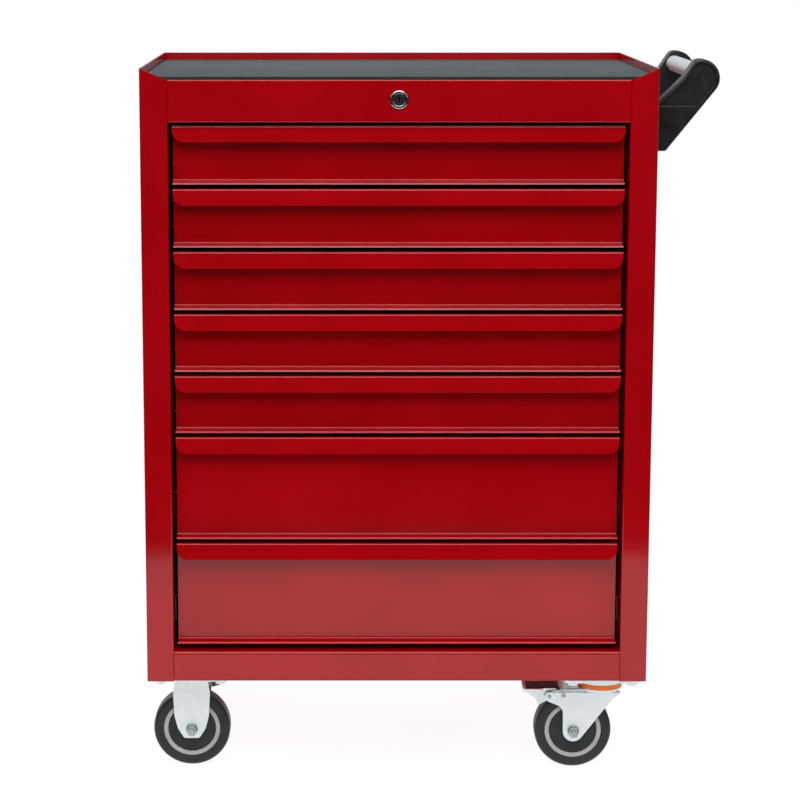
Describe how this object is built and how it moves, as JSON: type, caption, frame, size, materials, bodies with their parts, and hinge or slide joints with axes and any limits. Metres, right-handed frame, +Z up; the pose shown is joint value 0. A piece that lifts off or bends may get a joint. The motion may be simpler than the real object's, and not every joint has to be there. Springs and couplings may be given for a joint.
{
  "type": "rolling tool box",
  "caption": "Wheeled steel tool cabinet with full-width drawers, a matted lipped top, a keyed lock, a side push handle and braked swivel casters.",
  "frame": {"origin": "on the floor, under the middle of the bounding box", "axes": "+Z up, drawers open towards -Y, push handle on the +X side"},
  "size_m": [0.7616, 0.463, 0.9555],
  "materials": {
    "red_paint": "glossy powder coat",
    "mat_rubber": "matte, fine woven texture",
    "slide_steel": "dark zinc, drawn lines",
    "zinc_steel": "blue zinc plate",
    "chrome": "polished",
    "lock_black": "black, satin",
    "black_plastic": "satin, fine grain",
    "grey_tube": "satin",
    "tyre_black": "satin",
    "wheel_core": "matte",
    "orange_seal": "glossy",
    "pedal_steel": "dark, satin"
  },
  "bodies": {
    "cabinet": {"left_side_panel": "red_paint", "right_side_panel": "red_paint", "back_panel": "red_paint", "top_panel": "red_paint", "base_panel": "red_paint", "slide_uprights": "red_paint", "outer_slides": "slide_steel", "top_mat": "mat_rubber", "lock_bezel": "chrome", "lock_bar_guides": "slide_steel", "front_handle_bracket": "black_plastic", "rear_handle_bracket": "black_plastic", "handle_tube": "grey_tube", "handle_screws": "zinc_steel", "fixed_caster_frames": "zinc_steel", "fixed_caster_axles": "zinc_steel", "swivel_caster_plates": "zinc_steel", "caster_bolts": "zinc_steel"},
    "lock_barrel": {"lock_barrel": "lock_black", "lock_shaft": "slide_steel"},
    "lock_bar": {"lock_bar": "slide_steel"},
    "drawer_1": {"drawer_1_front": "red_paint", "drawer_1_tray": "red_paint", "drawer_1_slides": "slide_steel"},
    "drawer_2": {"drawer_2_front": "red_paint", "drawer_2_tray": "red_paint", "drawer_2_slides": "slide_steel"},
    "drawer_3": {"drawer_3_front": "red_paint", "drawer_3_tray": "red_paint", "drawer_3_slides": "slide_steel"},
    "drawer_4": {"drawer_4_front": "red_paint", "drawer_4_tray": "red_paint", "drawer_4_slides": "slide_steel"},
    "drawer_5": {"drawer_5_front": "red_paint", "drawer_5_tray": "red_paint", "drawer_5_slides": "slide_steel"},
    "drawer_6": {"drawer_6_front": "red_paint", "drawer_6_tray": "red_paint", "drawer_6_slides": "slide_steel"},
    "drawer_7": {"drawer_7_front": "red_paint", "drawer_7_tray": "red_paint", "drawer_7_slides": "slide_steel"},
    "front_left_wheel": {"front_left_tyre": "tyre_black", "front_left_core": "wheel_core"},
    "front_right_fork": {"front_right_fork": "zinc_steel", "front_right_seal": "orange_seal", "front_right_pins": "zinc_steel"},
    "front_right_wheel": {"front_right_tyre": "tyre_black", "front_right_core": "wheel_core"},
    "front_right_pedal": {"front_right_pedal": "pedal_steel"},
    "rear_left_wheel": {"rear_left_tyre": "tyre_black", "rear_left_core": "wheel_core"},
    "rear_right_fork": {"rear_right_fork": "zinc_steel", "rear_right_seal": "orange_seal", "rear_right_pins": "zinc_steel"},
    "rear_right_wheel": {"rear_right_tyre": "tyre_black", "rear_right_core": "wheel_core"},
    "rear_right_pedal": {"rear_right_pedal": "pedal_steel"}
  },
  "joints": [
    {"name": "drawer_1_slide", "type": "slide", "parent": "cabinet", "child": "drawer_1", "axis": [0, -1, 0], "range_m": [0, 0.3]},
    {"name": "drawer_2_slide", "type": "slide", "parent": "cabinet", "child": "drawer_2", "axis": [0, -1, 0], "range_m": [0, 0.3]},
    {"name": "drawer_3_slide", "type": "slide", "parent": "cabinet", "child": "drawer_3", "axis": [0, -1, 0], "range_m": [0, 0.3]},
    {"name": "drawer_4_slide", "type": "slide", "parent": "cabinet", "child": "drawer_4", "axis": [0, -1, 0], "range_m": [0, 0.3]},
    {"name": "drawer_5_slide", "type": "slide", "parent": "cabinet", "child": "drawer_5", "axis": [0, -1, 0], "range_m": [0, 0.3]},
    {"name": "drawer_6_slide", "type": "slide", "parent": "cabinet", "child": "drawer_6", "axis": [0, -1, 0], "range_m": [0, 0.3]},
    {"name": "drawer_7_slide", "type": "slide", "parent": "cabinet", "child": "drawer_7", "axis": [0, -1, 0], "range_m": [0, 0.3]},
    {"name": "lock_turn", "type": "hinge", "parent": "cabinet", "child": "lock_barrel", "pos_m": [-0.0458, -0.2285, 0.908], "axis": [0, 1, 0], "range_deg": [0, 90]},
    {"name": "lock_bar_drop", "type": "slide", "parent": "cabinet", "child": "lock_bar", "axis": [0, 0, -1], "range_m": [0, 0.01131]},
    {"name": "front_left_spin", "type": "hinge", "parent": "cabinet", "child": "front_left_wheel", "pos_m": [-0.3238, -0.1745, 0.052], "axis": [0, 1, 0], "continuous": true},
    {"name": "front_right_swivel", "type": "hinge", "parent": "cabinet", "child": "front_right_fork", "pos_m": [0.2322, -0.1825, 0.112], "axis": [0, 0, 1], "continuous": true},
    {"name": "front_right_spin", "type": "hinge", "parent": "front_right_fork", "child": "front_right_wheel", "pos_m": [0.1947, -0.1825, 0.052], "axis": [0, 1, 0], "continuous": true},
    {"name": "front_right_brake", "type": "hinge", "parent": "front_right_fork", "child": "front_right_pedal", "pos_m": [0.1619, -0.1825, 0.101], "axis": [0, -1, 0], "range_deg": [0, 15]},
    {"name": "rear_left_spin", "type": "hinge", "parent": "cabinet", "child": "rear_left_wheel", "pos_m": [-0.3238, 0.1775, 0.052], "axis": [0, 1, 0], "continuous": true},
    {"name": "rear_right_swivel", "type": "hinge", "parent": "cabinet", "child": "rear_right_fork", "pos_m": [0.2322, 0.1855, 0.112], "axis": [0, 0, 1], "continuous": true},
    {"name": "rear_right_spin", "type": "hinge", "parent": "rear_right_fork", "child": "rear_right_wheel", "pos_m": [0.1947, 0.1855, 0.052], "axis": [0, 1, 0], "continuous": true},
    {"name": "rear_right_brake", "type": "hinge", "parent": "rear_right_fork", "child": "rear_right_pedal", "pos_m": [0.1619, 0.1855, 0.101], "axis": [0, -1, 0], "range_deg": [0, 15]}
  ],
  "couplings": [
    {"joint": "lock_turn", "follows": "lock_bar_drop", "rad_per_m": 138.84}
  ]
}
